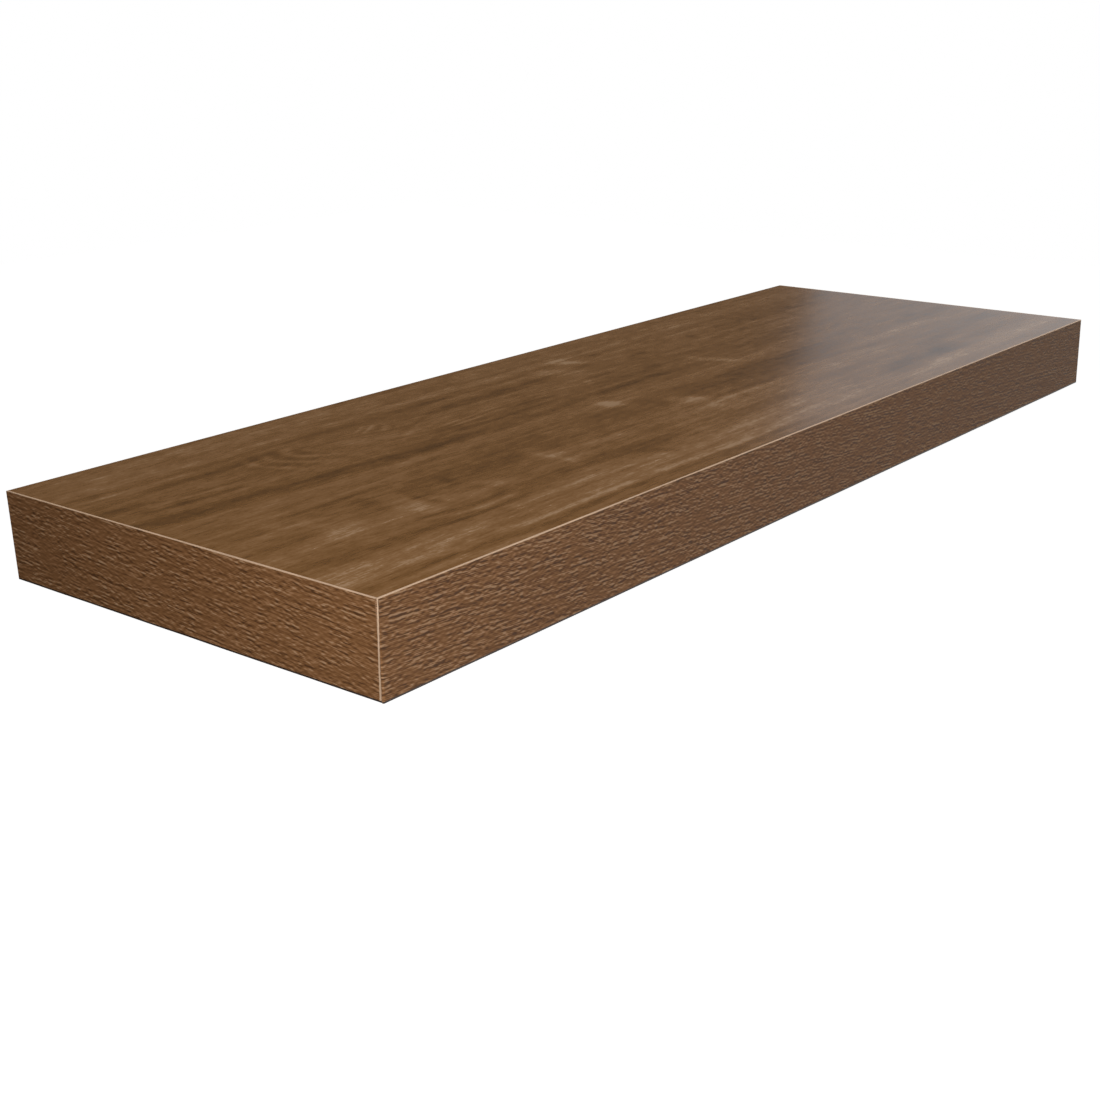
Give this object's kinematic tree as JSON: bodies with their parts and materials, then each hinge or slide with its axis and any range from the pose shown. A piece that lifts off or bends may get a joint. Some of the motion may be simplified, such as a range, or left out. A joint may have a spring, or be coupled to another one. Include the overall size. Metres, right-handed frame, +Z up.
{
  "type": "floating wall shelf",
  "caption": "Thick straight floating shelf with walnut decor top, beveled edge bands and hollow core, sliding onto a concealed rod bracket with a slotted wall rail.",
  "frame": {"origin": "on the wall plane, at the middle of the wall rail's rear face, at the shelf's mid height and mid length", "axes": "+X along the shelf to its right end, +Y into the wall (the front edge faces -Y), +Z up"},
  "size_m": [0.762, 0.279, 0.05],
  "materials": {
    "zinc_steel": "bright zinc plated, satin",
    "weld_steel": "plated over a rippled weld bead",
    "walnut_decor": "smooth satin walnut decor laminate, grain along the length",
    "walnut_band": "embossed walnut decor edge band with a paler core at its bevels",
    "fibreboard": "raw sanded fibreboard",
    "particle_board": "raw particle board",
    "honeycomb_paper": "brown kraft paper",
    "staple_wire": "galvanised wire",
    "brass": "turned brass",
    "black_steel": "black oxide"
  },
  "bodies": {
    "wall_bracket": {"wall_rail": "zinc_steel", "left_support_rod": "zinc_steel", "centre_support_rod": "zinc_steel", "right_support_rod": "zinc_steel", "rod_welds": "weld_steel"},
    "shelf_body": {"top_laminate": "walnut_decor", "bottom_laminate": "walnut_decor", "top_panel": "fibreboard", "bottom_panel": "fibreboard", "front_rail": "particle_board", "left_end_rail": "particle_board", "right_end_rail": "particle_board", "rear_rail": "particle_board", "left_rib": "particle_board", "centre_rib": "particle_board", "right_rib": "particle_board", "honeycomb_1": "honeycomb_paper", "honeycomb_2": "honeycomb_paper", "honeycomb_3": "honeycomb_paper", "honeycomb_4": "honeycomb_paper", "frame_staples": "staple_wire", "front_edge_band": "walnut_band", "left_edge_band": "walnut_band", "right_edge_band": "walnut_band", "lock_inserts": "brass"},
    "left_lock_screw": {"left_lock_screw": "black_steel"},
    "right_lock_screw": {"right_lock_screw": "black_steel"}
  },
  "joints": [
    {"name": "shelf_slide", "type": "slide", "parent": "wall_bracket", "child": "shelf_body", "axis": [0, -1, 0], "range_m": [0, 0.2]},
    {"name": "left_lock_travel", "type": "slide", "parent": "shelf_body", "child": "left_lock_screw", "axis": [0, 0, -1], "range_m": [0, 0.006]},
    {"name": "right_lock_travel", "type": "slide", "parent": "shelf_body", "child": "right_lock_screw", "axis": [0, 0, -1], "range_m": [0, 0.006]}
  ]
}
